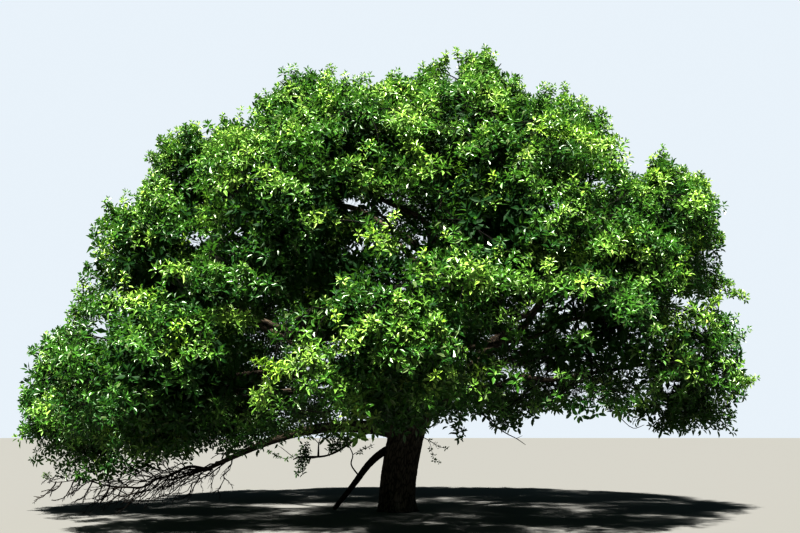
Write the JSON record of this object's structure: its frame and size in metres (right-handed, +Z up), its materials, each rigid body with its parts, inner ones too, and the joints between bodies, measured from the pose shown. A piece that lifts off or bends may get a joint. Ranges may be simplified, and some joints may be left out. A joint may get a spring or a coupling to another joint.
{
  "type": "whitebeam tree",
  "caption": "Broad domed old tree in full leaf on a short leaning trunk, with drooping skirts of foliage, a dead limb propped on the ground and bare twigs low on one side.",
  "frame": {"origin": "middle of the flat cut under the trunk, at ground level", "axes": "+Z up; +X to the side that the trunk leans to, the right of the front view; -Y is the front"},
  "size_m": [14.3419, 13.2107, 9.0498],
  "materials": {
    "bark": "dark plated bark, matt",
    "dead_wood": "weathered dead wood, matt",
    "dead_twigs": "bare dead twigs, matt",
    "leaf": "green leaves, slightly waxy"
  },
  "bodies": {
    "root": {"bare_twigs": "dead_twigs", "bough_hanging": "bark", "bough_low_left": "bark", "bough_shoulder_1": "bark", "bough_shoulder_2": "bark", "bough_shoulder_3": "bark", "bough_shoulder_4": "bark", "bough_shoulder_5": "bark", "bough_shoulder_6": "bark", "bough_skirt_1": "bark", "bough_skirt_2": "bark", "bough_skirt_3": "bark", "bough_skirt_4": "bark", "bough_skirt_5": "bark", "bough_skirt_6": "bark", "bough_skirt_7": "bark", "bough_skirt_8": "bark", "bough_top_1": "bark", "bough_top_2": "bark", "bough_top_3": "bark", "bough_top_4": "bark", "bough_waist_1": "bark", "bough_waist_2": "bark", "bough_waist_3": "bark", "bough_waist_4": "bark", "bough_waist_5": "bark", "bough_waist_6": "bark", "bough_waist_7": "bark", "bough_waist_8": "bark", "foliage_hanging": "leaf", "foliage_shoulder_1": "leaf", "foliage_shoulder_2": "leaf", "foliage_shoulder_3": "leaf", "foliage_shoulder_4": "leaf", "foliage_shoulder_5": "leaf", "foliage_shoulder_6": "leaf", "foliage_skirt_1": "leaf", "foliage_skirt_2": "leaf", "foliage_skirt_3": "leaf", "foliage_skirt_4": "leaf", "foliage_skirt_5": "leaf", "foliage_skirt_6": "leaf", "foliage_skirt_7": "leaf", "foliage_skirt_8": "leaf", "foliage_top_1": "leaf", "foliage_top_2": "leaf", "foliage_top_3": "leaf", "foliage_top_4": "leaf", "foliage_waist_1": "leaf", "foliage_waist_2": "leaf", "foliage_waist_3": "leaf", "foliage_waist_4": "leaf", "foliage_waist_5": "leaf", "foliage_waist_6": "leaf", "foliage_waist_7": "leaf", "foliage_waist_8": "leaf", "prop_limb_lower": "dead_wood", "prop_limb_upper": "dead_wood", "trunk": "bark"}
  },
  "joints": []
}
